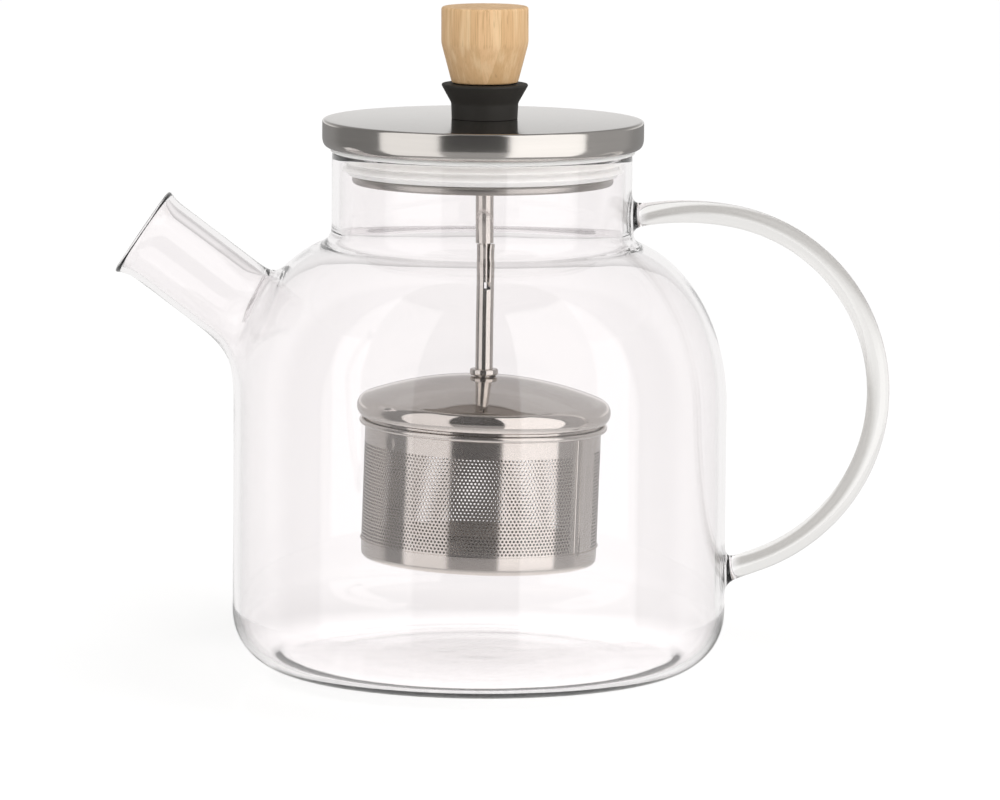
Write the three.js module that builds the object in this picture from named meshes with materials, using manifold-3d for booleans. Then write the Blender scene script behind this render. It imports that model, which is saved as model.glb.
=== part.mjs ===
// Glass teapot with a lid, a lifting plunger and a hanging infuser basket.
// Millimetres, +Z up. The pot's axis is the Z axis and its base stands on z = 0.
// The spout points to -X and the handle to +X.
import * as THREE from 'three';
import { mergeVertices } from 'three/addons/utils/BufferGeometryUtils.js';
import Module from 'manifold-3d';

const wasm = await Module();
wasm.setup();

const GAP = 0.3;                 // clearance between pieces that touch on the real object
const SMALL_GAP = 0.2;           // clearance between thin concentric tubes
const BIG_SIDES = 40;            // sides of large turned pieces
const SMALL_SIDES = 24;          // sides of rods, rings and nuts

// ---- driving dimensions -------------------------------------------------------------

const glass = {
  wall: 2,                       // thickness of the blown wall
  floor: 3,                      // thickness of the base
  radius: 67.8,                  // outside of the straight wall
  baseCorner: 16,                // rounding between wall and base
  shoulderZ: 73.2,               // height where the straight wall turns into the shoulder
  shoulderRun: 33,               // shoulder ellipse, half-axis outwards
  shoulderRise: 46,              // shoulder ellipse, half-axis upwards
  neckRadius: 41.15,
  neckStartZ: 120.5,
  neckFillet: 2,                 // how far out the shoulder ellipse stops before the neck
  rimEdge: 0.7,                  // rounding of the rim
  rimZ: 142.6,
  floorRadius: 50,               // the flat disc of the base
  cornerTopZ: 18,                // the blown body is cut into rings at these heights
  crownZ: 100,
  neckBaseZ: 118,
};

const spoutSize = {
  radius: 11.9,
  bore: 9.9,
  slope: 37,                     // degrees above horizontal
  mouth: [-92.4, 120.2],         // x and z of the middle of the mouth
  length: 48,                    // from the mouth back to inside the wall
  lipRadius: 12.7,
  rootRadius: 14.2,              // flare where it joins the shoulder
  rootEnd: 14,                   // the flare runs this far from the inner end
  flareEnd: 24,                  // and is down to the plain tube here
  lipStart: 3,                   // the pouring lip widens between these distances from the mouth
  lipEnd: 1,
};

const handleSize = {
  rod: 3.1,                      // radius of the glass rod
  centre: [60, 77],              // x and z of the loop's centre
  radius: 49.4,                  // radius of the loop's centreline
  topZ: 125.1,                   // height where the rod leaves the neck
  topAngle: 80,                  // the loop's round stretch starts here, in degrees
  lowAngle: -70,                 // and ends here, going on straight into the wall
  weld: 4.6,                     // radius of the welds at both ends
  bend: 14,                      // length of the bend between the neck and the loop
  straight: 11.5,                // length of the straight run into the wall
  sunk: 1.5,                     // how far the rod starts inside the neck's surface
  weldAt: [0.004, 0.992],        // where the welds are, as shares of the rod's length
};

const lid = {
  x: 0.2,                        // the lid sits this far off the pot's axis
  radius: 44.05,
  topZ: 151.9,
  bottomZ: 143.9,
  sheet: 1.2,
  edge: 2.4,                     // rounding of the lower edge
  lip: 39.6,                     // inner radius of the rolled lower edge
  plateRadius: 35.8,
  plateBottomZ: 134.3,
  plateTopZ: 136.55,
  plateSheet: 0.9,
  plateRim: 1.5,                 // thickness of the plate's turned-down rim
  plateHub: [6.5, 8],            // radius of the thick middle, at its lower and upper edge
};

const seal = {
  foot: [33.5, 36.6],            // inner and outer radius of the foot on the plate
  wall: [35.4, 37.4],            // inner and outer radius of the upright wall
  rib: 38.7,                     // outer radius of the two ribs that press on the neck
  ribStep: 0.6,                  // half the height of a rib
  ribZ: [1.6, 3.8],              // heights of the ribs above the plate
  flange: 41,                    // outer radius of the flange over the glass rim
  flangeHeight: 0.7,
  shoulderUp: 3.4,               // height of the outer shoulder inside the lid
};

const bushSize = {
  tube: 4.2,
  bore: 3.2,
  head: 6.5,
  headHeight: 1.2,
  lowZ: 131.7,
  topZ: 158,
  nutFlats: 11,
  nutHeight: 2,
};

const collar = {
  base: 9.03,
  waist: 9.2,
  rim: 11.85,
  waistZ: 156.25,
  rimZ: 161.5,
  hole: 3.4,
  overlap: 0.6,                  // how far the collar's socket reaches down over the bush
};

const ringSize = { inner: 2.95, outer: 4.2, z: 159.1, height: 1.4 };

const rod = {
  x: 0.55,                       // axis of knob, collar and bush
  pivotZ: 162,                   // the plunger leans about this height
  lean: -0.4,                    // degrees, lower end towards +X
  radius: 2.45,
  bore: 1.95,
  spigot: 1.6,
  topZ: 162.7,
  lowZ: 116.9,
};

const knobSize = {
  radius: 11.92,
  bottomRadius: 9.06,
  bottomZ: 162.1,
  taperZ: 172.6,
  topZ: 182.6,
  edge: 0.8,
};

const insertSize = { head: 3, stud: 1.75, lowZ: 150, headZ: 163, topZ: 172 };

const lowRod = {
  x: 1.22,                       // axis at its top end
  topZ: 116.3,
  endZ: 76.4,
  lean: 0.42,                    // degrees, lower end towards -X
  bore: 2.05,
  slot: 1.1,
  window: [1.85, 2.3],           // width and height
  windowZ: 105.5,
  facing: 15,                    // degrees from -Y towards +X
  flangeRadius: 3.87,
  flangeZ: 81.2,
  flangeHeight: 1.7,
  nut: [8, 0.8, 3],              // across flats, then lower and upper face above the rod's end
};

const dome = {
  x: 1.06,                       // axis at the height of the widest rim
  lean: 1.7,                     // degrees, lower end towards -X
  rimZ: 71.8,
  rimCentre: 31.5,               // radius of the centre of the rim's rounding
  rimRound: 3.4,
  rimStart: 20.5,                // degrees from the vertical where the sphere meets the rounding
  rimEnd: 135,                   // degrees from the vertical where the curled edge stops
  sheet: 0.8,
  skirt: [62, 73.2],             // lower and upper edge of the skirt that holds the basket
  skirtSheet: 0.6,
};

const basket = {
  radius: 32.45,
  sheet: 0.5,
  topZ: 69,
  floorZ: 30.2,
  floorSheet: 0.6,
  corner: 1.5,
  floorTopZ: 33.2,
  bead: [32.8, 34.1, 67.6, 69.2],  // inner and outer radius, lower and upper height
};

// ---- helpers ------------------------------------------------------------------------

const radians = THREE.MathUtils.degToRad;

function closedMesh(geometry) {
  const bare = geometry.clone();
  bare.deleteAttribute('normal');
  bare.deleteAttribute('uv');
  const merged = mergeVertices(bare, 1e-4);
  const vertProperties = new Float32Array(merged.attributes.position.array);
  const index = Array.from(merged.index.array);
  const kept = [];
  for (let i = 0; i < index.length; i += 3) {
    const [a, b, c] = index.slice(i, i + 3);
    if (a !== b && b !== c && c !== a) kept.push(a, b, c);
  }
  if (signedVolume(vertProperties, kept) < 0) kept.reverse();
  return new wasm.Mesh({ numProp: 3, vertProperties, triVerts: new Uint32Array(kept) });
}

function signedVolume(points, index) {
  const corner = (i) => new THREE.Vector3().fromArray(points, index[i] * 3);
  let sum = 0;
  for (let i = 0; i < index.length; i += 3) {
    sum += corner(i).dot(corner(i + 1).cross(corner(i + 2)));
  }
  return sum / 6;
}

const solid = (geometry) => new wasm.Manifold(closedMesh(geometry));

function toGeometry(body) {
  const mesh = body.getMesh();
  const geometry = new THREE.BufferGeometry();
  geometry.setAttribute('position', new THREE.BufferAttribute(new Float32Array(mesh.vertProperties), 3));
  geometry.setIndex(new THREE.BufferAttribute(new Uint32Array(mesh.triVerts), 1));
  return geometry;
}

// A closed outline of [radius, z] points turned about the Z axis.
function turned(outline, sides = BIG_SIDES) {
  const points = outline.map(([r, z]) => new THREE.Vector2(Math.max(r, 0), z));
  const onAxis = points[0].x === 0 && points.at(-1).x === 0;
  if (!onAxis) points.push(points[0].clone());
  return new THREE.LatheGeometry(points, sides).rotateX(Math.PI / 2);
}

// Points of an arc or ellipse from one angle to another, in degrees from the +r direction.
function arc([cr, cz], [a, b], from, to, steps) {
  return Array.from({ length: steps + 1 }, (_, i) => {
    const t = radians(from + (to - from) * i / steps);
    return [cr + a * Math.cos(t), cz + b * Math.sin(t)];
  });
}

// A plain tube or, with inner 0, a disc.
function tube(outer, inner, low, high, sides = SMALL_SIDES) {
  return turned([[inner, low], [outer, low], [outer, high], [inner, high]], sides);
}

function hexNut(acrossFlats, hole, low, high) {
  const corner = acrossFlats / Math.sqrt(3);
  const corners = arc([0, 0], [corner, corner], 0, 300, 5);
  const shape = new THREE.Shape(corners.map(([x, y]) => new THREE.Vector2(x, y)));
  shape.holes.push(new THREE.Path().absarc(0, 0, hole, 0, Math.PI * 2, true));
  const options = { depth: high - low, bevelEnabled: false, curveSegments: 12 };
  const geometry = new THREE.ExtrudeGeometry(shape, options);
  return geometry.translate(0, 0, low);
}

function finish(color, roughness, metalness, more = {}) {
  return new THREE.MeshStandardMaterial({ color, roughness, metalness, ...more });
}

const looks = {
  glass: finish(0xeef3f2, 0.03, 0, { transparent: true, opacity: 0.3 }),
  brushedSteel: finish(0xb9b8b6, 0.32, 1),
  polishedSteel: finish(0xc9c7c4, 0.12, 1),
  brass: finish(0xb08d4f, 0.35, 1),
  bamboo: finish(0xd2aa76, 0.55, 0),
  blackSilicone: finish(0x2b2925, 0.6, 0),
  clearSilicone: finish(0xe9e7e3, 0.4, 0, { transparent: true, opacity: 0.6 }),
};

function piece(name, geometry, material) {
  const mesh = new THREE.Mesh(toGeometry(solid(geometry)), material);
  mesh.name = name;
  return mesh;
}

// Pieces built about an upright axis through the origin, then moved to x and leaned about height z.
function leaning(x, z, lean, ...pieces) {
  const tilt = new THREE.Group();
  tilt.position.set(x, 0, z);
  tilt.rotation.y = radians(lean);
  const level = new THREE.Group();
  level.position.z = -z;
  level.add(...pieces);
  tilt.add(level);
  return tilt;
}

// ---- pot ----------------------------------------------------------------------------

// Outside of the glass, grown by "grow", from the middle of the base up to the rim.
function glassOutline(grow) {
  const radius = glass.radius + grow;
  const corner = glass.baseCorner + grow;
  const shoulderCentre = [glass.radius - glass.shoulderRun, glass.shoulderZ];
  const shoulder = [glass.shoulderRun + grow, glass.shoulderRise + grow];
  const neck = glass.neckRadius + grow;
  const shoulderEnd = (neck + glass.neckFillet - shoulderCentre[0]) / shoulder[0];
  const neckAngle = THREE.MathUtils.radToDeg(Math.acos(shoulderEnd));
  return [
    [0, -grow],
    ...arc([radius - corner, corner - grow], [corner, corner], -90, 0, 5),
    ...arc(shoulderCentre, shoulder, 0, neckAngle, 9),
    [neck + glass.neckFillet / 4, glass.neckStartZ - 1],
    [neck, glass.neckStartZ],
    [neck, glass.rimZ - glass.rimEdge],
  ];
}

// The blown body with the spout's bore through its shoulder.
function glassSolid() {
  const outside = glassOutline(0);
  const inside = glassOutline(-glass.wall).map(([r, z]) => [r, Math.max(z, glass.floor)]);
  const rim = [glass.neckRadius - glass.wall / 2, glass.rimZ];
  const outline = [...outside, rim, ...inside.reverse()];
  return solid(turned(outline)).subtract(spoutBore());
}

// The part of the blown body between two heights and outside an inner radius.
function glassRing(name, low, high, inner = 0) {
  const far = 2 * glass.radius;
  const keep = solid(tube(far, inner, low, high, BIG_SIDES));
  return bodyMesh(name, glassSolid().intersect(keep), looks.glass);
}

function glassFloor() {
  const disc = tube(glass.floorRadius, 0, 0, glass.floor, BIG_SIDES);
  return piece('glass_floor', disc, looks.glass);
}

// A solid bar along the spout's axis, from inside the wall to past the mouth.
function spoutBar(outline) {
  const geometry = turned(outline, 32);
  geometry.rotateY(-radians(90 - spoutSize.slope));
  return solid(geometry.translate(spoutSize.mouth[0], 0, spoutSize.mouth[1]));
}

const BORE_PAST = 6;             // how far the bore's cutter runs past the mouth

function spoutBore() {
  const { bore, length } = spoutSize;
  return spoutBar([[0, -length], [bore, -length], [bore, BORE_PAST], [0, BORE_PAST]]);
}

function spoutSolid() {
  const { radius, rootRadius, length, rootEnd, flareEnd, lipRadius, lipStart, lipEnd } = spoutSize;
  const outer = spoutBar([
    [0, -length],
    [rootRadius, -length],
    [rootRadius, rootEnd - length],
    [radius, flareEnd - length],
    [radius, -lipStart],
    [lipRadius, -lipEnd],
    [lipRadius, 0],
    [0, 0],
  ]);
  return outer.subtract(spoutBore()).subtract(grownGlass());
}

// Everything inside the glass body's outside, grown by the gap, with its neck carried upwards.
function grownGlass() {
  const outline = glassOutline(GAP);
  outline.push([0, outline.at(-1)[1]]);
  return solid(turned(outline));
}

// The handle's centreline in the XZ plane, from the neck round to the lower wall.
class HandleLine extends THREE.Curve {
  constructor() {
    super();
    const [cx, cz] = handleSize.centre;
    const { radius, topAngle, lowAngle, topZ, bend, straight, sunk } = handleSize;
    const at = (angle) => new THREE.Vector2(Math.cos(radians(angle)), Math.sin(radians(angle)));
    const start = at(topAngle).multiplyScalar(radius).add(new THREE.Vector2(cx, cz));
    const along = new THREE.Vector2(-at(topAngle).y, at(topAngle).x);
    const corner = start.clone().addScaledVector(along, bend);
    const end = at(lowAngle).multiplyScalar(radius).add(new THREE.Vector2(cx, cz));
    const inwards = new THREE.Vector2(at(lowAngle).y, -at(lowAngle).x);
    const last = end.clone().addScaledVector(inwards, straight);
    this.path = new THREE.Path();
    this.path.moveTo(glass.neckRadius - sunk, topZ);
    this.path.quadraticCurveTo(corner.x, corner.y, start.x, start.y);
    this.path.absarc(cx, cz, radius, radians(topAngle), radians(lowAngle), true);
    this.path.lineTo(last.x, last.y);
  }

  getPoint(t) {
    const p = this.path.getPoint(t);
    return new THREE.Vector3(p.x, 0, p.y);
  }
}

function handleSolid() {
  const line = new HandleLine();
  const section = new THREE.Shape().absarc(0, 0, handleSize.rod, 0, Math.PI * 2, false);
  const loop = new THREE.ExtrudeGeometry(section, { steps: 36, extrudePath: line, curveSegments: 6 });
  const weldAt = (t) => {
    const spot = line.getPointAt(t);
    return new THREE.SphereGeometry(handleSize.weld, 12, 8).translate(spot.x, spot.y, spot.z);
  };
  const welds = handleSize.weldAt.map((t) => solid(weldAt(t)));
  return solid(loop).add(welds[0]).add(welds[1]).subtract(grownGlass());
}

function bodyMesh(name, body, material) {
  const mesh = new THREE.Mesh(toGeometry(body), material);
  mesh.name = name;
  return mesh;
}

function pot() {
  const { cornerTopZ, shoulderZ, crownZ, neckBaseZ, rimZ, floorRadius } = glass;
  return [
    glassFloor(),
    glassRing('glass_corner', 0, cornerTopZ, floorRadius + GAP),
    glassRing('glass_wall', cornerTopZ + GAP, shoulderZ),
    glassRing('glass_shoulder', shoulderZ + GAP, crownZ),
    glassRing('glass_crown', crownZ + GAP, neckBaseZ),
    glassRing('glass_neck', neckBaseZ + GAP, rimZ),
    bodyMesh('spout', spoutSolid(), looks.glass),
    bodyMesh('handle', handleSolid(), looks.glass),
  ];
}

// ---- lid ----------------------------------------------------------------------------

// A steel or silicone ring turned about the lid's axis, with a hole where the bush stands.
function lidPiece(name, outline, hole, material) {
  let body = solid(turned(outline).translate(lid.x, 0, 0));
  if (hole) {
    const drill = tube(hole, 0, lid.plateBottomZ - 5, lid.topZ + 5);
    body = body.subtract(solid(drill.translate(rod.x, 0, 0)));
  }
  return bodyMesh(name, body, material);
}

function lidCap() {
  const { radius, topZ, bottomZ, sheet, edge, lip } = lid;
  const outline = [
    [0, topZ],
    [radius - 0.8, topZ],
    [radius, topZ - 0.8],
    ...arc([radius - edge, bottomZ + edge], [edge, edge], 0, -90, 4),
    [lip, bottomZ],
    [lip, bottomZ + sheet],
    [radius - edge, bottomZ + sheet],
    [radius - sheet, bottomZ + edge],
    [radius - sheet, topZ - sheet],
    [0, topZ - sheet],
  ];
  return lidPiece('lid_cap', outline, bushSize.tube + GAP, looks.brushedSteel);
}

function lidSeal() {
  const { foot, wall, rib, ribStep, ribZ, flange, flangeHeight, shoulderUp } = seal;
  const bottom = lid.plateTopZ + GAP;
  const flangeTop = lid.bottomZ - GAP;
  const top = lid.topZ - lid.sheet - GAP;
  const ribs = ribZ.flatMap((z) => [
    [wall[1], bottom + z - ribStep],
    [rib, bottom + z],
    [wall[1], bottom + z + ribStep],
  ]);
  const outline = [
    [foot[0], bottom],
    [foot[1], bottom],
    ...ribs,
    [wall[1], flangeTop - flangeHeight],
    [flange, flangeTop - flangeHeight],
    [flange, flangeTop],
    [lid.lip - GAP, flangeTop],
    [lid.lip - GAP, lid.bottomZ + shoulderUp],
    [wall[1], top],
    [wall[0], top],
    [wall[0], bottom + 2],
    [foot[0], bottom + 1.5],
  ];
  return lidPiece('lid_seal', outline, 0, looks.clearSilicone);
}

function lidPlate() {
  const { plateRadius, plateBottomZ, plateTopZ, plateSheet, plateRim, plateHub } = lid;
  const underside = plateTopZ - plateSheet;
  const outline = [
    [0, plateTopZ],
    [plateRadius - 0.7, plateTopZ],
    [plateRadius, plateTopZ - 0.7],
    [plateRadius, plateBottomZ + 0.6],
    [plateRadius - 0.6, plateBottomZ],
    [plateRadius - plateRim, plateBottomZ],
    [plateRadius - plateRim, underside],
    [plateHub[1], underside],
    [plateHub[0], plateBottomZ],
    [0, plateBottomZ],
  ];
  return lidPiece('lid_plate', outline, bushSize.tube + GAP, looks.polishedSteel);
}

function lidBush() {
  const { tube: outer, bore, head, headHeight, lowZ, topZ } = bushSize;
  const seat = lid.topZ + GAP;
  const outline = [
    [bore, lowZ],
    [outer, lowZ],
    [outer, seat],
    [head, seat],
    [head, seat + headHeight],
    [outer, seat + headHeight],
    [outer, topZ],
    [bore, topZ],
  ];
  return piece('lid_bush', turned(outline, SMALL_SIDES).translate(rod.x, 0, 0), looks.brushedSteel);
}

function lidNut() {
  const high = lid.plateBottomZ - GAP;
  const { tube: outer, nutFlats, nutHeight } = bushSize;
  const nut = hexNut(nutFlats, outer + SMALL_GAP, high - nutHeight, high);
  return piece('lid_nut', nut.translate(rod.x, 0, 0), looks.brushedSteel);
}

function knobCollar() {
  const low = lid.topZ + GAP;
  const head = bushSize.head + GAP;
  const headTop = low + bushSize.headHeight + GAP;
  const socket = bushSize.topZ - collar.overlap;
  const ringSeat = ringSize.outer + 2 * GAP;
  const ringTop = ringSize.z + ringSize.height / 2 + GAP;
  const outline = [
    [head, low],
    [collar.base, low],
    [collar.waist, collar.waistZ],
    [collar.rim, collar.rimZ - 0.4],
    [collar.rim - 0.2, collar.rimZ],
    [collar.hole, collar.rimZ],
    [collar.hole, ringTop],
    [ringSeat, ringTop],
    [ringSeat, socket],
    [bushSize.tube + GAP, socket],
    [bushSize.tube + GAP, headTop],
    [head, headTop],
  ];
  return piece('knob_collar', turned(outline, 28).translate(rod.x, 0, 0), looks.blackSilicone);
}

const lidPieces = () => [lidCap(), lidSeal(), lidPlate(), lidBush(), lidNut(), knobCollar()];

// ---- plunger ------------------------------------------------------------------------

// The soft ring inside the collar that holds the rod where it is left.
function gripRing() {
  const { inner, outer, z, height } = ringSize;
  const ring = tube(outer, inner, z - height / 2, z + height / 2);
  return piece('grip_ring', ring, looks.blackSilicone);
}

function knob() {
  const { radius, bottomRadius, bottomZ, taperZ, topZ, edge } = knobSize;
  const hole = insertSize.head + SMALL_GAP;
  const outline = [
    [0, insertSize.topZ + GAP],
    [hole, insertSize.topZ + GAP],
    [hole, bottomZ],
    [bottomRadius, bottomZ],
    [radius, taperZ],
    ...arc([radius - edge, topZ - edge], [edge, edge], 0, 90, 3),
    [0, topZ],
  ];
  return piece('knob', turned(outline, 36), looks.bamboo);
}

function knobInsert() {
  const { head, stud, lowZ, headZ, topZ } = insertSize;
  const outline = [[0, lowZ], [stud, lowZ], [stud, headZ], [head, headZ], [head, topZ], [0, topZ]];
  return piece('knob_insert', turned(outline, SMALL_SIDES), looks.brass);
}

function upperRod() {
  const whole = tube(rod.radius, rod.bore, rod.lowZ, rod.topZ);
  return piece('upper_rod', whole, looks.polishedSteel);
}

const SPIGOT_PLUG = 13;          // how far the spigot reaches up inside the upper rod

function rodSpigot() {
  const low = lowRod.windowZ + lowRod.window[1];
  const step = rod.lowZ + GAP;
  const plug = rod.bore - SMALL_GAP;
  const top = step + SPIGOT_PLUG;
  const outline = [[0, low], [rod.spigot, low], [rod.spigot, step], [plug, step], [plug, top], [0, top]];
  return piece('rod_spigot', turned(outline, SMALL_SIDES), looks.polishedSteel);
}

const plunger = () => leaning(rod.x, rod.pivotZ, rod.lean,
  gripRing(), knob(), knobInsert(), upperRod(), rodSpigot());

// ---- infuser ------------------------------------------------------------------------

// A bar across the whole tube, which cuts a slit or a window through both its walls.
function crossCut(width, low, high) {
  const bar = new THREE.BoxGeometry(width, 4 * rod.radius, high - low);
  return solid(bar.translate(0, 0, (low + high) / 2).rotateZ(radians(lowRod.facing)));
}

function slitRod() {
  const { bore, endZ, topZ, slot, window, windowZ } = lowRod;
  const windowTop = windowZ + window[1];
  const whole = solid(tube(rod.radius, bore, endZ, topZ));
  const slit = crossCut(slot, windowTop - 0.1, topZ + 1);
  const opening = crossCut(window[0], windowZ, windowTop);
  return bodyMesh('lower_rod', whole.subtract(slit).subtract(opening), looks.polishedSteel);
}

function rodFlange() {
  const { flangeRadius, flangeZ, flangeHeight } = lowRod;
  const high = flangeZ + flangeHeight;
  const inner = rod.radius + SMALL_GAP;
  const outline = [
    [inner, flangeZ],
    [flangeRadius - 0.2, flangeZ],
    [flangeRadius, flangeZ + 0.3],
    [flangeRadius, high - 0.3],
    [flangeRadius - 0.2, high],
    [inner, high],
  ];
  return piece('rod_flange', turned(outline, SMALL_SIDES), looks.polishedSteel);
}

function capNut() {
  const [flats, low, high] = lowRod.nut;
  const nut = hexNut(flats, rod.radius + SMALL_GAP, lowRod.endZ + low, lowRod.endZ + high);
  return piece('cap_nut', nut, looks.brushedSteel);
}

// The dome's sheet: a sphere that runs tangent into the rim's rounding and curls under.
function domeOutline(inset) {
  const { rimCentre, rimZ, rimRound, rimStart, rimEnd } = dome;
  const round = rimRound - inset;
  const sphere = rimCentre / Math.sin(radians(rimStart)) + round;
  const centreZ = rimZ - (sphere - round) * Math.cos(radians(rimStart));
  const hole = THREE.MathUtils.radToDeg(Math.asin((rod.radius + 2 * GAP) / sphere));
  return [
    ...arc([0, centreZ], [sphere, sphere], 90 - hole, 90 - rimStart, 4),
    ...arc([rimCentre, rimZ], [round, round], 90 - rimStart, 90 - rimEnd, 5).slice(1),
  ];
}

function infuserCap() {
  const outline = [...domeOutline(0), ...domeOutline(dome.sheet).reverse()];
  return piece('infuser_cap', turned(outline), looks.polishedSteel);
}

function capSkirt() {
  const outer = basket.radius - basket.sheet - GAP;
  const skirt = tube(outer, outer - dome.skirtSheet, ...dome.skirt, BIG_SIDES);
  return piece('cap_skirt', skirt, looks.brushedSteel);
}

const infuserRod = () => leaning(lowRod.x, lowRod.topZ, lowRod.lean, slitRod(), rodFlange(), capNut());

// ---- basket -------------------------------------------------------------------------

function basketRim() {
  const [inner, outer, low, high] = basket.bead;
  const middle = (low + high) / 2;
  const half = (high - low) / 2;
  const outline = [[inner, low], ...arc([outer - half, middle], [half, half], -90, 90, 4), [inner, high]];
  return piece('basket_rim', turned(outline), looks.brushedSteel);
}

function basketWall() {
  const { radius, sheet, topZ, floorTopZ } = basket;
  const wall = tube(radius, radius - sheet, floorTopZ + GAP, topZ, BIG_SIDES);
  return piece('basket_wall', wall, looks.brushedSteel);
}

function basketFloor() {
  const { radius, corner, floorZ, floorSheet, floorTopZ } = basket;
  const outline = [
    [0, floorZ],
    ...arc([radius - corner, floorZ + corner], [corner, corner], -90, 0, 4),
    [radius, floorTopZ],
    [radius - floorSheet, floorTopZ],
    [radius - floorSheet, floorZ + corner],
    [radius - corner, floorZ + floorSheet],
    [0, floorZ + floorSheet],
  ];
  return piece('basket_floor', turned(outline), looks.brushedSteel);
}

const capAndBasket = () => leaning(dome.x, dome.rimZ, dome.lean,
  infuserCap(), capSkirt(), basketRim(), basketWall(), basketFloor());

// ---- assembly -----------------------------------------------------------------------

const group = new THREE.Group();
group.add(...pot(), ...lidPieces(), plunger(), infuserRod(), capAndBasket());

export default group;
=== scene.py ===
import math

import bmesh
import bpy
import numpy as np
from mathutils import Matrix, Vector


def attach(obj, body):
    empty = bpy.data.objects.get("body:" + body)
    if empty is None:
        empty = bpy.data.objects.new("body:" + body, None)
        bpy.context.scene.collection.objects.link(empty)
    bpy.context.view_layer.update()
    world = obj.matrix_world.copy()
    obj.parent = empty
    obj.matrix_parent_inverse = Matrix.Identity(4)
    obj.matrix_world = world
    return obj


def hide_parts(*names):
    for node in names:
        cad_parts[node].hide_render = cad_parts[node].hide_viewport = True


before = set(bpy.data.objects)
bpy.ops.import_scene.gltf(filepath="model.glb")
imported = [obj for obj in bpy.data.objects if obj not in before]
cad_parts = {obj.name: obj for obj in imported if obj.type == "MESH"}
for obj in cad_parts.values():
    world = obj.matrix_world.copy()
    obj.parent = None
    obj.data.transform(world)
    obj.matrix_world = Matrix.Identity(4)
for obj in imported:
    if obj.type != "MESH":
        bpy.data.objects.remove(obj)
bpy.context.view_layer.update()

# Lengths are in millimetres up to the moment a mesh is made, and angles in degrees.
MM = 0.001

# ---- sizes of the pieces ----

GLASS = {
    "wall": 2.0,
    "floor": 3.0,
    "base_rise": 0.12,
    "radius": 67.8,
    "corner": 16.0,
    "shoulder_z": 73.2,
    "shoulder_run": 33.0,
    "shoulder_rise": 46.0,
    "neck": 41.15,
    "neck_fillet": 3.0,
    "fillet_rise": 3.5,
    "rim_z": 142.6,
    "rim_round": 0.8,
    "sides": 224,
}
# Points along each part of the body's outline.
GLASS_STEPS = {"flat": 48, "corner": 18, "wall": 44, "shoulder": 46, "fillet": 8, "neck": 18}
OPEN_PAST = {"neck": 3.0, "spout": 2.0}  # how far the hollow runs past its openings
BEVEL = 0.3  # where a glass rim's middle point lies, as a share of its rounding
# Height of the floor's faint moulded rings: radius of each ring, then its height.
FLOOR_RINGS = ((16, 0.03), (29, 0.025), (43, 0.05))
FLOOR_RING_WIDTH = 3.5

SPOUT = {
    "radius": 11.9,
    "bore": 10.4,
    "slope": 37.0,
    "mouth": (-92.4, 120.2),
    "length": 48.0,
    "lip": 0.8,
    "lip_run": 5.0,
    "edge": 0.72,
    "reach": 1.3,
    "reach_run": 16.0,
    "pour": 1.1,
    "pour_run": 9.0,
    "fillet_top": 7.0,
    "fillet_low": 15.0,
    "sides": 96,
}

HANDLE = {
    "rod": 3.1,
    "centre": (60.0, 77.0),
    "radius": 49.4,
    "top_z": 125.1,
    "top_angle": 80.0,
    "low_angle": -70.0,
    "bend": 14.0,
    "straight": 11.5,
    "root": 1.0,
    "fillet": 5.0,
    "sides": 28,
}
HANDLE_STEPS = {"bend": 22, "loop": 110, "straight": 12}
# The painted streak, a grey band of painted shade standing in for the rod's reflection and refraction:
# the side it lies on, the shares of the rod where it begins and ends, and how far off the body and the neck
# the handle's greyer tint sets in.
HANDLE_TINT_AND_PAINTED_STREAK = {
    "side": (-0.3, 0.95),
    "begins": (-0.1, 0.25),
    "ends": (0.65, 0.85),
    "low_z": 114.0,
    "neck_z": 120.0,
    "clear": 0.7,
    "fade": 4.0,
}

LID = {
    "x": 0.2,
    "radius": 44.05,
    "top_z": 151.9,
    "low_z": 143.9,
    "sheet": 1.2,
    "crown": 0.35,
    "lip": 39.6,
    "hole": 5.2,
    "plate": 35.8,
    "plate_low": 134.3,
    "plate_top": 136.55,
    "plate_sheet": 0.9,
    "plate_rim": 1.5,
    "plate_hub": (6.5, 8.0),
}
LID_SIDES = 192
LID_PLACE = Matrix.Translation((LID["x"] * MM, 0, 0))

SEAL = {
    "inner": 33.5,
    "foot": 36.9,
    "groove": 37.3,
    "rib": 38.9,
    "ribs": (1.6, 3.8),
    "rib_rise": 0.7,
    "shank": 37.6,
    "flange": 41.7,
    "flange_sheet": 1.15,
    "shoulder": 39.4,
    "shoulder_rise": 3.4,
    "top": (35.4, 37.4),
    "slope": (1.5, 2.0),
    "gap": 0.1,
}

ROD = {
    "x": 0.55,
    "pivot": 162.0,
    "lean": -0.4,
    "radius": 2.45,
    "bore": 1.95,
    "low_z": 116.9,
    "top_z": 162.7,
}
SPIGOT = {"radius": 1.6, "low_z": 107.8, "top_z": 130.2, "plug": 1.75, "step_z": 117.2}
LOW_ROD = {
    "x": 1.22,
    "pivot": 116.3,
    "lean": 0.42,
    "radius": 2.4,
    "bore": 2.0,
    "low_z": 76.4,
    "slot": 1.1,
    "window": (1.85, 105.5, 107.8),
    "facing": 15.0,
    "spread": 0.11,
}
FLANGE = {"radius": 3.87, "low_z": 81.2, "high_z": 82.9}

KNOB = {
    "radius": 11.92,
    "bottom": 9.06,
    "low_z": 161.75,
    "taper_z": 172.6,
    "top_z": 182.6,
    "hole": 3.2,
    "hole_z": 172.3,
}
COLLAR = {
    "base": 9.03,
    "waist": 9.2,
    "rim": 11.85,
    "low_z": 151.95,
    "waist_z": 156.25,
    "rim_z": 161.5,
    "bush_room": 6.9,
    "bush_top": 154.2,
    "ring_room": 5.2,
    "ring_top": 160.1,
    "rod_room": 3.4,
}

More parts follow.
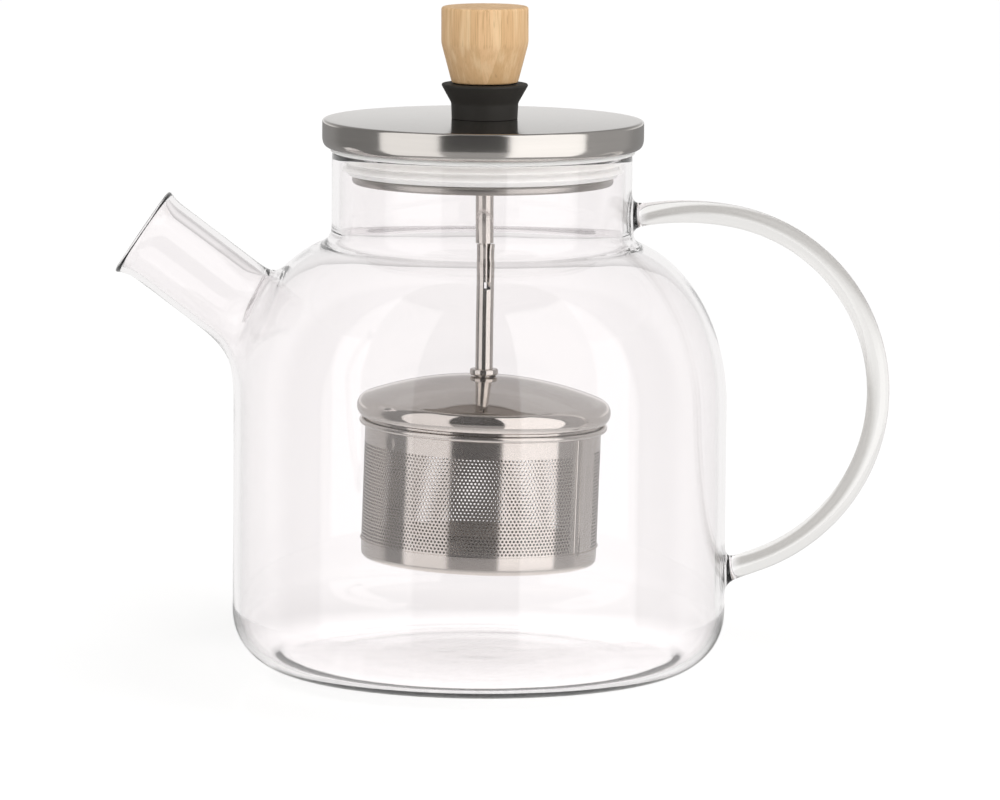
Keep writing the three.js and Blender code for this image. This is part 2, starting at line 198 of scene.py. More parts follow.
DOME = {
    "x": 1.06,
    "lean": 1.7,
    "rim_z": 71.8,
    "rim_centre": 31.5,
    "rim_round": 3.4,
    "rim_start": 20.5,
    "rim_end": 135.0,
    "sheet": 0.8,
    "hole": 3.0,
}
SKIRT = {"radius": 31.65, "sheet": 0.6, "low_z": 62.0, "high_z": 73.2}

BASKET = {
    "radius": 32.45,
    "wall": 0.35,
    "low_z": 35.3,
    "top_z": 69.0,
    "floor_z": 30.2,
    "floor_top": 35.25,
    "draft": 0.14,
    "floor_sheet": 0.6,
    "corner": 1.6,
    "bead": (32.0, 34.1, 66.9, 68.6),
}
HOLES = {"columns": 192, "rows": 29, "low_z": 36.1, "radius": 0.36}
SEAM = {"angle": 60.8, "width": 4.6, "proud": 0.16, "margin": (49.5, 70.5)}
DIMPLES = {"angles": (-50.0, 70.0, 190.0), "z": 63.9, "radius": 1.5, "depth": 0.35}
WALL_PARTS = 4

MOST_EASE = 0.48  # the greatest share of a side that one rounded corner may take

# ---- mesh helpers ----


def leaning(part, pivot="pivot"):
    """The place of a piece built upright on the Z axis, leaned about its pivot's height."""
    x, z = part["x"], part[pivot]
    tilt = Matrix.Rotation(math.radians(part["lean"]), 4, "Y")
    back = Matrix.Translation((0, 0, -z * MM))
    return Matrix.Translation((x * MM, 0, z * MM)) @ tilt @ back


def arc(centre, radii, start, end, steps):
    """Points of an arc or ellipse in the (radius, z) plane, from one angle to another."""
    angles = np.radians(np.linspace(start, end, steps + 1))
    return [(centre[0] + radii[0] * math.cos(a), centre[1] + radii[1] * math.sin(a)) for a in angles]


def bent(start, corner, end, share):
    """A point of the curve that leaves start towards corner and arrives at end."""
    return start * (1 - share) ** 2 + corner * (2 * share * (1 - share)) + end * share * share


def rounded(corners, steps=5):
    """A closed outline whose corners (radius, z, rounding) are eased over that length."""
    outline = []
    for i, (r, z, ease) in enumerate(corners):
        here = Vector((r, z))
        before = Vector(corners[i - 1][:2]) - here
        after = Vector(corners[(i + 1) % len(corners)][:2]) - here
        if not ease:
            outline.append((r, z))
            continue
        start = here + before.normalized() * min(ease, before.length * MOST_EASE)
        end = here + after.normalized() * min(ease, after.length * MOST_EASE)
        curve = [bent(start, here, end, k / steps) for k in range(steps + 1)]
        outline += [(p.x, p.y) for p in curve]
    return outline


def turned_mesh(outline, sides):
    """Points and faces of a closed (radius, z) outline turned about the Z axis."""
    points, rows, faces = [], [], []
    for r, z in outline:
        count = 1 if r < 1e-6 else sides
        rows.append([len(points) + k for k in range(count)])
        for k in range(count):
            a = 2 * math.pi * k / sides
            points.append((r * math.sin(a), -r * math.cos(a), z))
    for low, high in zip(rows, rows[1:] + rows[:1]):
        for k in range(sides if len(low) + len(high) > 2 else 0):
            n = (k + 1) % sides
            ring = [low[k % len(low)], low[n % len(low)], high[n % len(high)], high[k % len(high)]]
            faces.append(tuple(dict.fromkeys(ring)))
    return np.array(points), faces


def new_object(name, points, faces, place=None, sharp=38.0):
    """An object with outward normals, smooth except along edges sharper than that angle."""
    mesh = bpy.data.meshes.new(name)
    mesh.from_pydata([tuple(p) for p in np.asarray(points) * MM], [], faces)
    work = bmesh.new()
    work.from_mesh(mesh)
    bmesh.ops.recalc_face_normals(work, faces=work.faces)
    work.to_mesh(mesh)
    work.free()
    finish_shading(mesh, sharp)
    obj = bpy.data.objects.new(name, mesh)
    bpy.context.scene.collection.objects.link(obj)
    if place is not None:
        obj.matrix_world = place
    return obj


def finish_shading(mesh, sharp):
    mesh.shade_smooth()
    mesh.set_sharp_from_angle(angle=math.radians(sharp))


def turned(name, outline, sides=96, place=None, sharp=38.0):
    points, faces = turned_mesh(outline, sides)
    return new_object(name, points, faces, place, sharp)


def apply_modifiers(obj):
    """Replaces the object's mesh with its evaluated one."""
    graph = bpy.context.evaluated_depsgraph_get()
    mesh = bpy.data.meshes.new_from_object(obj.evaluated_get(graph))
    obj.modifiers.clear()
    obj.data = mesh


def combine(obj, other, operation):
    """Joins, cuts or intersects obj with other, which is then removed."""
    modifier = obj.modifiers.new(operation, "BOOLEAN")
    modifier.operation = operation
    modifier.solver = "MANIFOLD"
    modifier.object = other
    apply_modifiers(obj)
    bpy.data.objects.remove(other)


def get_points(obj):
    points = np.zeros(len(obj.data.vertices) * 3)
    obj.data.vertices.foreach_get("co", points)
    return points.reshape(-1, 3) / MM


def set_points(obj, points):
    obj.data.vertices.foreach_set("co", (points * MM).ravel())
    obj.data.update()


def place_piece(obj, body, slot, material, *nodes):
    """Gives the piece its body and material, and hides the CAD nodes that it stands for. The slot is not
    used.
    """
    obj.data.materials.clear()
    obj.data.materials.append(material)
    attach(obj, body)
    if nodes:
        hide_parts(*nodes)
    return obj


# ---- glass ----


def glass_outline(inset):
    """The pot's outside, or with inset its inside, from the middle of the base to the rim."""
    radius = GLASS["radius"] - inset
    corner = GLASS["corner"] - inset
    flat_end = radius - corner
    centre = (GLASS["radius"] - GLASS["shoulder_run"], GLASS["shoulder_z"])
    radii = (GLASS["shoulder_run"] - inset, GLASS["shoulder_rise"] - inset)
    neck = GLASS["neck"] - inset
    stop = math.degrees(math.acos((neck + GLASS["neck_fillet"] - centre[0]) / radii[0]))
    low = GLASS["floor"] if inset else 0.0
    rise = 0 if inset else GLASS["base_rise"]
    steps = GLASS_STEPS
    flat = [(r, low + rise * (1 - (r / flat_end) ** 2)) for r in np.linspace(0, flat_end, steps["flat"])]
    bend = arc((flat_end, GLASS["corner"]), (corner, corner), -90, 0, steps["corner"])[1:]
    wall = [(radius, z) for z in np.linspace(GLASS["corner"], GLASS["shoulder_z"], steps["wall"])[1:]]
    shoulder = arc(centre, radii, 0, stop, steps["shoulder"])[1:]
    fillet = neck_fillet(shoulder[-2], shoulder[-1], neck)
    top = GLASS["rim_z"] - GLASS["rim_round"]
    tube = [(neck, z) for z in np.linspace(fillet[-1][1], top, steps["neck"])[1:]]
    outline = flat + bend + wall + shoulder + fillet + tube
    return [(r, max(z, low)) for r, z in outline]


def neck_fillet(before, start, neck):
    """A smooth curve from the end of the shoulder into the upright neck."""
    start = Vector(start)
    along = (start - Vector(before)).normalized()
    corner = start + along * ((start.x - neck) / max(-along.x, 0.2))
    end = Vector((neck, corner.y + GLASS["fillet_rise"]))
    shares = np.linspace(0, 1, GLASS_STEPS["fillet"] + 1)[1:]
    curve = [bent(start, corner, end, share) for share in shares]
    return [(p.x, p.y) for p in curve]


def outline_distance(points, outline):
    """Signed distance in the (radius, z) plane from a turned outline, negative inside."""
    flat = np.column_stack([np.hypot(points[:, 0], points[:, 1]), points[:, 2]])
    start = np.array(outline[:-1])
    step = np.diff(np.array(outline), axis=0)
    offset = flat[:, None] - start[None]
    share = np.clip((offset * step).sum(2) / (step**2).sum(1), 0, 1)
    gap = np.linalg.norm(offset - share[..., None] * step, axis=2)
    best = gap.argmin(1)
    rows = np.arange(len(flat))
    near = offset[rows, best]
    side = step[best, 0] * near[:, 1] - step[best, 1] * near[:, 0]
    return np.where(side > 0, -gap[rows, best], gap[rows, best])


def spout_mouth():
    return np.array([SPOUT["mouth"][0], 0, SPOUT["mouth"][1]])


def spout_axis():
    slope = math.radians(SPOUT["slope"])
    return np.array([-math.cos(slope), 0, math.sin(slope)])


def spout_distance(points, radius):
    """Signed distance from the spout's long bar."""
    offset = points - spout_mouth()
    along = offset @ spout_axis()
    return np.linalg.norm(offset - along[:, None] * spout_axis(), axis=1) - radius


def spout_fillet(points):
    """The blend between spout and body, tighter above the spout than below it."""
    slope = math.radians(SPOUT["slope"])
    upward = (points - spout_mouth()) @ np.array([math.sin(slope), 0, math.cos(slope)])
    share = np.clip((upward / SPOUT["radius"] + 1) / 2, 0, 1)
    return SPOUT["fillet_low"] + (SPOUT["fillet_top"] - SPOUT["fillet_low"]) * share


def handle_line():
    """The handle's centreline in the XZ plane, from the neck round to the lower wall."""
    centre = Vector(HANDLE["centre"])
    first, last = math.radians(HANDLE["top_angle"]), math.radians(HANDLE["low_angle"])

    def on_loop(angle):
        return centre + Vector((math.cos(angle), math.sin(angle))) * HANDLE["radius"]

    start, end = on_loop(first), on_loop(last)
    corner = start + Vector((-math.sin(first), math.cos(first))) * HANDLE["bend"]
    inside = end + Vector((math.sin(last), -math.cos(last))) * HANDLE["straight"]
    root = Vector((GLASS["neck"] - HANDLE["root"], HANDLE["top_z"]))
    bend = [bent(root, corner, start, t) for t in np.linspace(0, 1, HANDLE_STEPS["bend"])]
    loop = [on_loop(a) for a in np.linspace(first, last, HANDLE_STEPS["loop"])[1:]]
    run = [end + (inside - end) * t for t in np.linspace(0, 1, HANDLE_STEPS["straight"])[1:]]
    return np.array([(p.x, 0, p.y) for p in bend + loop + run])


def handle_distance(points):
    line = handle_line()
    gap = np.full(len(points), np.inf)
    for a, b in zip(line[:-1], line[1:]):
        step = b - a
        share = np.clip((points - a) @ step / (step @ step), 0, 1)
        gap = np.minimum(gap, np.linalg.norm(points - a - share[:, None] * step, axis=1))
    return gap - HANDLE["rod"]


def smooth_least(a, b, blend):
    """The lesser of two distances, melted together where they differ by less than blend."""
    share = np.clip(blend - np.abs(a - b), 0, None) / blend
    return np.minimum(a, b) - share**3 * blend / 6


def melt(obj, distance, near, rounds=5):
    """Moves the points that are near a join onto the melted surface."""
    points = get_points(obj)
    chosen = near(points)
    moving = points[chosen]
    step = 0.02
    least_slope = 0.25
    for _ in range(rounds):
        here = distance(moving)
        slope = np.stack([(distance(moving + step * axis) - here) / step for axis in np.eye(3)], axis=1)
        size = np.maximum((slope**2).sum(1), least_slope)
        moving = moving - (here / size)[:, None] * slope
    points[chosen] = moving
    set_points(obj, points)


def spout_bar(name, outline):
    """An outline turned about the spout's axis, with z = 0 at the mouth.

    Near the mouth its upper side reaches further and its lower side turns out as a lip.
    """
    points, faces = turned_mesh(outline, SPOUT["sides"])
    upper = np.clip(points[:, 0] / SPOUT["radius"], -1, 1)
    reach = np.clip(1 + points[:, 2] / SPOUT["reach_run"], 0, 1)
    pour = np.clip(1 + points[:, 2] / SPOUT["pour_run"], 0, 1)
    points[:, 0] -= SPOUT["pour"] * pour**2 * np.clip(-upper, 0, 1) ** 2
    points[:, 2] += SPOUT["reach"] * reach * (1 + upper) / 2
    turn = np.array(Matrix.Rotation(math.radians(SPOUT["slope"] - 90), 3, "Y"))
    points = points @ turn.T + spout_mouth()
    return new_object(name, points, faces)


def spout_profile(radius, tip):
    """Half section of the spout or of its bore, which ends in the points of tip."""
    run, edge, flare = SPOUT["lip_run"], SPOUT["edge"], SPOUT["lip"]
    plain = [(radius, z) for z in np.linspace(-SPOUT["length"], -run, 46)]
    lip = [(radius + flare * t * t, -run + (run - edge) * t) for t in np.linspace(0, 1, 8)[1:]]
    return [(0, -SPOUT["length"])] + plain + lip + tip + [(0, tip[-1][1])]


def handle_rod():
    """The handle's round rod as a closed tube along its line."""
    line = handle_line()
    sides = HANDLE["sides"]
    tangent = np.gradient(line, axis=0)
    tangent /= np.linalg.norm(tangent, axis=1)[:, None]
    across = np.array([0.0, 1.0, 0.0])
    points, faces = [], []
    for centre, direction in zip(line, tangent):
        up = np.cross(direction, across)
        for k in range(sides):
            a = 2 * math.pi * k / sides
            points.append(centre + HANDLE["rod"] * (math.cos(a) * across + math.sin(a) * up))
    for i in range(len(line) - 1):
        for k in range(sides):
            n = (k + 1) % sides
            faces.append((i * sides + k, i * sides + n, (i + 1) * sides + n, (i + 1) * sides + k))
    faces.append(tuple(range(sides)))
    faces.append(tuple(range(len(points) - sides, len(points))))
    return new_object("handle_rod", points, faces)


def floor_height(outline):
    """Adds the faint rings to the inside of the base."""
    raised = []
    for r, z in outline:
        rings = sum(h * math.exp(-(((r - at) / FLOOR_RING_WIDTH) ** 2)) for at, h in FLOOR_RINGS)
        raised.append((r, z + rings if z <= GLASS["floor"] + 0.01 else z))
    return raised


def near_both(points, outline, distance, reach):
    """True where the outline's surface and the one at that distance are both within reach."""
    return (np.abs(outline_distance(points, outline)) < reach) & (np.abs(distance) < reach)


def outer_glass():
    """The pot's outside: body, spout and handle, melted together."""
    outside = glass_outline(0)
    neck, rim, ease = GLASS["neck"], GLASS["rim_z"], GLASS["rim_round"]
    top = [(neck - ease * BEVEL, rim - ease * BEVEL), (neck - ease, rim), (0, rim)]
    shell = turned("glass_pot", outside + top, GLASS["sides"])
    wide, edge = SPOUT["radius"] + SPOUT["lip"], SPOUT["edge"]
    mouth = [(wide - edge * BEVEL, -edge * BEVEL), (wide - edge, 0)]
    combine(shell, spout_bar("spout_outside", spout_profile(SPOUT["radius"], mouth)), "UNION")
    combine(shell, handle_rod(), "UNION")

    def distance(points):
        body = outline_distance(points, outside)
        spout = spout_distance(points, SPOUT["radius"])
        melted = smooth_least(body, spout, spout_fillet(points))
        return smooth_least(melted, handle_distance(points), HANDLE["fillet"])

    def near(points):
        spout = spout_distance(points, SPOUT["radius"])
        at_spout = near_both(points, outside, spout, spout_fillet(points))
        at_handle = near_both(points, outside, handle_distance(points), HANDLE["fillet"])
        return (at_spout & (points[:, 0] < 0)) | (at_handle & (points[:, 0] > 0))

    melt(shell, distance, near)
    return shell


def glass_hollow():
    """The space inside the pot and its spout, which runs out past the neck and the mouth."""
    inside = glass_outline(GLASS["wall"])
    neck, rim, ease = GLASS["neck"] - GLASS["wall"], GLASS["rim_z"], GLASS["rim_round"]
    end = rim + OPEN_PAST["neck"]
    top = [(neck + ease * BEVEL, rim - ease * BEVEL), (neck + ease, rim), (neck + ease, end), (0, end)]
    hollow = turned("hollow", floor_height(inside) + top, GLASS["sides"])
    wide, edge = SPOUT["bore"] + SPOUT["lip"], SPOUT["edge"]
    mouth = [(wide + edge * BEVEL, -edge * BEVEL), (wide + edge, 0), (wide + edge, OPEN_PAST["spout"])]
    combine(hollow, spout_bar("bore", spout_profile(SPOUT["bore"], mouth)), "UNION")

    def distance(points):
        body = outline_distance(points, inside)
        return smooth_least(body, spout_distance(points, SPOUT["bore"]), spout_fillet(points))

    def near(points):
        bore = spout_distance(points, SPOUT["bore"])
        return near_both(points, inside, bore, spout_fillet(points)) & (points[:, 0] < 0)

    melt(hollow, distance, near)
    return hollow


def glass_pot():
    """The blown body, its welded spout and its handle, as one hollow piece of glass."""
    shell = outer_glass()
    combine(shell, glass_hollow(), "DIFFERENCE")
    clean(shell, 0.03)
    finish_shading(shell.data, 50)
    shell.visible_shadow = False
    shell.visible_diffuse = False
    return shell


def clean(obj, distance):
    """Merges points closer than that and drops faces with no area."""
    work = bmesh.new()
    work.from_mesh(obj.data)
    bmesh.ops.remove_doubles(work, verts=work.verts, dist=distance * MM)
    bmesh.ops.dissolve_degenerate(work, edges=work.edges, dist=distance * MM * 0.5)
    work.to_mesh(obj.data)
    work.free()


# ---- lid ----


def lid_cap():
    low, top, radius, sheet = LID["low_z"], LID["top_z"], LID["radius"], LID["sheet"]
    edge_top = top - LID["crown"]
    radii = np.linspace(LID["hole"], radius * 0.96, 14)
    corners = [(r, top - LID["crown"] * (r / radius) ** 2, 0) for r in radii]
    corners += [
        (radius, edge_top, 0.9),
        (radius, low, 3.0),
        (LID["lip"], low, 0.3),
        (LID["lip"], low + sheet, 0.3),
        (radius - sheet, low + sheet, 1.6),
        (radius - sheet, edge_top - sheet, 0.4),
        (LID["hole"], edge_top - sheet, 0),
    ]
    return turned("lid_cap_sheet", rounded(corners, 8), LID_SIDES, LID_PLACE)


def lid_plate():
    low, top, radius = LID["plate_low"], LID["plate_top"], LID["plate"]
    inner = radius - LID["plate_rim"]
    under = top - LID["plate_sheet"]
    hub, hub_top = LID["plate_hub"]
    corners = [
        (LID["hole"], top, 0),
        (radius, top, 1.1),
        (radius, low, 1.1),
        (inner, low, 0.3),
        (inner, under, 0.3),
        (hub_top, under, 0.5),
        (hub, low, 0.3),
        (LID["hole"], low, 0),
    ]
    return turned("seal_plate", rounded(corners), LID_SIDES, LID_PLACE)


def lid_seal():
    """A ring on the plate with two ribs against the neck and a flange on the glass's rim."""
    bottom = LID["plate_top"] + SEAL["gap"]
    top = LID["top_z"] - LID["sheet"] - SEAL["gap"]
    flange_top = LID["low_z"] - SEAL["gap"]
    flange_low = flange_top - SEAL["flange_sheet"]
    groove, rise = SEAL["groove"], SEAL["rib_rise"]
    top_inner, top_outer = SEAL["top"]
    slope_low, slope_top = SEAL["slope"]
    corners = [(SEAL["inner"], bottom, 0.3), (SEAL["foot"], bottom, 0.5)]
    for rib in SEAL["ribs"]:
        z = bottom + rib
        corners += [(groove, z - rise, 0.3), (SEAL["rib"], z, 0.4), (groove, z + rise, 0.3)]
    corners += [
        (SEAL["shank"], flange_low, 0.3),
        (SEAL["flange"], flange_low, 0.4),
        (SEAL["flange"], flange_top, 0.2),
        (SEAL["shoulder"], flange_top, 0.2),
        (SEAL["shoulder"], flange_top + SEAL["shoulder_rise"], 0.4),
        (top_outer, top, 0.3),
        (top_inner, top, 0.3),
        (top_inner, bottom + slope_top, 0.4),
        (SEAL["inner"], bottom + slope_low, 0.3),
    ]
    return turned("lid_seal_ring", rounded(corners, 4), 144, LID_PLACE)


def collar():
    low, top = COLLAR["low_z"], COLLAR["rim_z"]
    corners = [
        (COLLAR["bush_room"], low, 0),
        (COLLAR["base"], low, 0.05),
        (COLLAR["waist"], COLLAR["waist_z"], 0.5),
        (COLLAR["rim"], top - 0.5, 0.25),
        (COLLAR["rim"] - 0.15, top, 0.3),
        (COLLAR["rod_room"], top, 0.3),
        (COLLAR["rod_room"], COLLAR["ring_top"], 0),
        (COLLAR["ring_room"], COLLAR["ring_top"], 0),
        (COLLAR["ring_room"], COLLAR["bush_top"], 0),
        (COLLAR["bush_room"], COLLAR["bush_top"], 0),
    ]
    return turned("collar", rounded(corners, 5), 96, Matrix.Translation((ROD["x"] * MM, 0, 0)))


# ---- plunger ----


def knob():
    corners = [
        (0, KNOB["hole_z"], 0),
        (KNOB["hole"], KNOB["hole_z"], 0.2),
        (KNOB["hole"], KNOB["low_z"], 0.3),
        (KNOB["bottom"], KNOB["low_z"], 0.6),
        (KNOB["radius"], KNOB["taper_z"], 0.9),
        (KNOB["radius"], KNOB["top_z"], 0.9),
        (0, KNOB["top_z"], 0),
    ]
    return turned("knob_body", rounded(corners, 6), 96, leaning(ROD))


def tube(name, radius, bore, low, high, place, sides=48):
    ease = (radius - bore) * 0.3
    corners = [(bore, low, ease), (radius, low, ease), (radius, high, ease), (bore, high, ease)]
    return turned(name, rounded(corners, 3), sides, place)


def spigot():
    corners = [
        (0, SPIGOT["low_z"], 0),
        (SPIGOT["radius"], SPIGOT["low_z"], 0.3),
        (SPIGOT["radius"], SPIGOT["step_z"], 0.1),
        (SPIGOT["plug"], SPIGOT["step_z"], 0.1),
        (SPIGOT["plug"], SPIGOT["top_z"], 0.2),
        (0, SPIGOT["top_z"], 0),
    ]
    return turned("spigot", rounded(corners, 3), 48, leaning(ROD))


# ---- infuser ----


def box_mesh(name, width, depth, low, high, degrees):
    """A bar for cutting, across the Z axis and turned about it."""
    a = math.radians(degrees)
    points = []
    for z in (low, high):
        for x, y in ((-1, -1), (1, -1), (1, 1), (-1, 1)):
            u, v = x * width / 2, y * depth / 2
            points.append((u * math.cos(a) - v * math.sin(a), u * math.sin(a) + v * math.cos(a), z))
    faces = [(0, 3, 2, 1), (4, 5, 6, 7), (0, 1, 5, 4), (1, 2, 6, 5), (2, 3, 7, 6), (3, 0, 4, 7)]
    return new_object(name, points, faces)


def slit_rod():
    """The lower tube, with a slit down from its top and a window below, through both walls."""
    radius, bore, top = LOW_ROD["radius"], LOW_ROD["bore"], LOW_ROD["pivot"]
    width, window_low, window_high = LOW_ROD["window"]
    heights = np.linspace(LOW_ROD["low_z"], top, 60)
    outline = [(radius, z) for z in heights] + [(bore, z) for z in heights[::-1]]
    obj = turned("slit_rod", outline, 64)
    facing = LOW_ROD["facing"]
    combine(obj, box_mesh("slit", LOW_ROD["slot"], 12, window_high - 0.1, top + 2, facing), "DIFFERENCE")
    combine(obj, box_mesh("window", width, 12, window_low, window_high, facing), "DIFFERENCE")
    points = get_points(obj)
    a = math.radians(facing)
    across = points[:, 0] * math.cos(a) + points[:, 1] * math.sin(a)
    raised = np.clip((points[:, 2] - window_low) / (top - window_low), 0, 1)
    shift = np.sign(across) * raised**2 * LOW_ROD["spread"]
    points[:, 0] += shift * math.cos(a)
    points[:, 1] += shift * math.sin(a)
    set_points(obj, points)
    finish_shading(obj.data, 30)
    obj.matrix_world = leaning(LOW_ROD)
    return obj


def flange():
    low, high, radius = FLANGE["low_z"], FLANGE["high_z"], FLANGE["radius"]
    inner = LOW_ROD["radius"] + 0.05
    corners = [(inner, low, 0.1), (radius, low, 0.45), (radius, high, 0.45), (inner, high, 0.2)]
    return turned("flange", rounded(corners, 6), 64, leaning(LOW_ROD))


def dome_side(inset):
    """One face of the dome's sheet: a sphere that runs into the rim's rounding."""
    centre, z, start = DOME["rim_centre"], DOME["rim_z"], DOME["rim_start"]
    rounding = DOME["rim_round"] - inset
    sphere = centre / math.sin(math.radians(start)) + rounding
    middle = z - (sphere - rounding) * math.cos(math.radians(start))
    hole = math.degrees(math.asin(DOME["hole"] / sphere))
    crown = arc((0, middle), (sphere, sphere), 90 - hole, 90 - start, 24)
    rim = arc((centre, z), (rounding, rounding), 90 - start, 90 - DOME["rim_end"], 20)[1:]
    return crown + rim


def basket_place():
    return leaning(DOME, "rim_z")


def dome():
    outline = dome_side(0) + dome_side(DOME["sheet"])[::-1]
    return turned("dome", outline, LID_SIDES, basket_place())


def skirt():
    radius, sheet = SKIRT["radius"], SKIRT["sheet"]
    return tube("skirt", radius, radius - sheet, SKIRT["low_z"], SKIRT["high_z"], basket_place(), 144)


# ---- basket ----


def basket_bead():
    inner, outer, low, high = BASKET["bead"]
    half = (high - low) / 2
    top = arc((outer - half, low + half), (half, half), -90, 90, 12)
    outline = [(inner, low)] + top + [(inner, high)]
    return turned("basket_bead", outline, LID_SIDES, basket_place())


def basket_floor():
    radius, sheet = BASKET["radius"], BASKET["floor_sheet"]
    low, top = BASKET["floor_z"], BASKET["floor_top"]
    corners = [
        (0, low, 0),
        (radius - BASKET["draft"], low, BASKET["corner"]),
        (radius, top, 0),
        (radius - sheet, top, 0),
        (radius - sheet, low + sheet, BASKET["corner"] * 0.7),
        (0, low + sheet, 0),
    ]
    return turned("basket_base", rounded(corners, 8), LID_SIDES, basket_place())


def wall_layout():
    """The wall unrolled: points on a lattice of half pitches, and the faces of each row.

    Around each hole a six-sided cell holds six quads; between margins the cell is filled.
    """
    columns = HOLES["columns"]
    pitch = 2 * math.pi * BASKET["radius"] / columns
    rise = pitch / (2 * math.sqrt(3))
    size = HOLES["radius"] / (2 * rise)
    around = ((0, 2), (-1, 1), (-1, -1), (0, -2), (1, -1), (1, 1))
    index, points, faces = {}, [], []

    def point(u, v):
        key = (round(u % (2 * columns), 4), round(v, 4))
        if key not in index:
            index[key] = len(points)
            points.append((u * 180.0 / columns, HOLES["low_z"] + v * rise))
        return index[key]

    for row in range(HOLES["rows"]):
        for column in range(columns):
            u, v = 2 * column + row % 2, 3 * row
            corners = [point(u + du, v + dv) for du, dv in around]
            if in_margin(u * 180.0 / columns):
                faces.append(tuple(corners))
                continue
            inner = [point(u + du * size, v + dv * size) for du, dv in around]
            for k in range(6):
                n = (k + 1) % 6
                faces.append((corners[k], corners[n], inner[n], inner[k]))
    add_band(point, faces, -1, BASKET["low_z"], rise)
    add_band(point, faces, 3 * (HOLES["rows"] - 1) + 1, BASKET["top_z"], rise)
    return points, faces


def in_margin(angle):
    low, high = SEAM["margin"]
    return low < (angle + 180) % 360 - 180 < high


def add_band(point, faces, edge, end_z, rise):
    """The plain sheet between the zigzag edge of the holes and the end of the wall."""
    side = 1 if edge > 0 else -1
    row = HOLES["rows"] - 1 if edge > 0 else 0
    levels = np.linspace(edge + 2 * side, (end_z - HOLES["low_z"]) / rise, 7)
    for u in range(2 * HOLES["columns"]):
        zig = [edge + (side if (u + k + row) % 2 == 0 else 0) for k in (0, 1)]
        faces.append((point(u, zig[0]), point(u + 1, zig[1]), point(u + 1, levels[0]), point(u, levels[0])))
        for low, high in zip(levels[:-1], levels[1:]):
            faces.append((point(u, low), point(u + 1, low), point(u + 1, high), point(u, high)))


def dimple_depth(angle, z):
    """How far the wall is pressed in by the round dimples that hold it on the cap."""
    depth = 0
    for at in DIMPLES["angles"]:
        turn = (angle - at + 180) % 360 - 180
        gap = math.hypot(math.radians(turn) * BASKET["radius"], z - DIMPLES["z"]) / DIMPLES["radius"]
        depth = max(depth, DIMPLES["depth"] * math.exp(-gap * gap * 2))
    return depth


def basket_wall():
    """The perforated wall as upright sectors, each given its thickness."""
    layout, faces = wall_layout()
    points = []
    for angle, z in layout:
        r = BASKET["radius"] - dimple_depth(angle, z)
        points.append((r * math.sin(math.radians(angle)), -r * math.cos(math.radians(angle)), z))
    sectors = [[] for _ in range(WALL_PARTS)]
    for face in faces:
        angle = layout[face[0]][0] % 360
        sectors[int(angle * WALL_PARTS / 360) % WALL_PARTS].append(face)
    return [wall_sector(i, points, sector) for i, sector in enumerate(sectors)]


def wall_sector(number, points, faces):
    used = sorted({i for face in faces for i in face})
    renumbered = {old: new for new, old in enumerate(used)}
    chosen = [points[i] for i in used]
    kept = [tuple(renumbered[i] for i in face) for face in faces]
    obj = new_object(f"perforated_wall_{number}", chosen, kept, basket_place())
    first = obj.data.polygons[0]
    outward = first.normal.dot(Vector((first.center.x, first.center.y, 0)))
    thickness = obj.modifiers.new("sheet", "SOLIDIFY")
    thickness.thickness = BASKET["wall"] * MM
    thickness.offset = -1 if outward > 0 else 1
    apply_modifiers(obj)
    finish_shading(obj.data, 40)
    return obj


def seam_strip():
    """The overlapping edge of the rolled sheet, a thin strip from the bead to the floor."""
    radius, proud = BASKET["radius"], SEAM["proud"]
    width = math.degrees(SEAM["width"] / radius)
    low, high = BASKET["floor_top"] + 0.4, BASKET["bead"][2] - 0.2
    profile = [(0.0, -0.1), (0.0, 0.05), (0.06, proud), (0.5, proud), (0.94, proud)]
    profile += [(1.0, 0.05), (1.0, -0.1)]
    heights = np.linspace(low, high, 30)
    points, faces = [], []
    for z in heights:
        for share, lift in profile:
            a = math.radians(SEAM["angle"] - width + width * share)
            r = radius + lift
            points.append((r * math.sin(a), -r * math.cos(a), z))
    count = len(profile)
    for i in range(len(heights) - 1):
        for k in range(count):
            n = (k + 1) % count
            faces.append((i * count + k, i * count + n, (i + 1) * count + n, (i + 1) * count + k))
    faces += [tuple(range(count)), tuple(range(len(points) - count, len(points)))]
    return new_object("seam_strip", points, faces, basket_place())


# ---- materials ----


